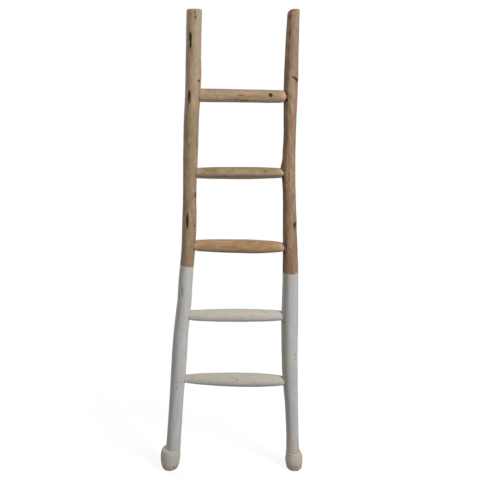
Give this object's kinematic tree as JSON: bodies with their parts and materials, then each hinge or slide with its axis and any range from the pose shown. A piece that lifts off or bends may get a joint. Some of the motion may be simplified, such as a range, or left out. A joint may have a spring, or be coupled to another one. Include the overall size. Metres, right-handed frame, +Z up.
{
  "type": "blanket ladder",
  "caption": "Leaning ladder for quilts and blankets, with crooked natural poles, spindle rungs and bulb feet, bare wood above and dipped in thin white paint below.",
  "frame": {"origin": "on the floor, under the middle of the bounding box", "axes": "+Z up along the ladder, -Y towards the front, where the nail heads show, +X towards the right pole"},
  "size_m": [0.5275, 0.0716, 1.625],
  "materials": {
    "dipped_pole": "bare sanded wood above, thin matte white paint below",
    "bare_wood": "bare sanded wood",
    "painted_wood": "thin matte white paint",
    "painted_foot": "thin matte paint, worn at the lip",
    "steel": "dull wire"
  },
  "bodies": {
    "root": {"pole_left": "dipped_pole", "pole_right": "dipped_pole", "rung_top": "bare_wood", "rung_upper": "bare_wood", "rung_middle": "bare_wood", "rung_lower": "painted_wood", "rung_bottom": "painted_wood", "foot_left": "painted_foot", "foot_right": "painted_foot", "nail_top_left": "steel", "nail_top_right": "steel", "nail_upper_left": "steel", "nail_upper_right": "steel", "nail_middle_left": "steel", "nail_middle_right": "steel", "nail_lower_left": "steel", "nail_lower_right": "steel", "nail_bottom_left": "steel", "nail_bottom_right": "steel", "foot_screw_left": "steel", "foot_screw_right": "steel"}
  },
  "joints": []
}
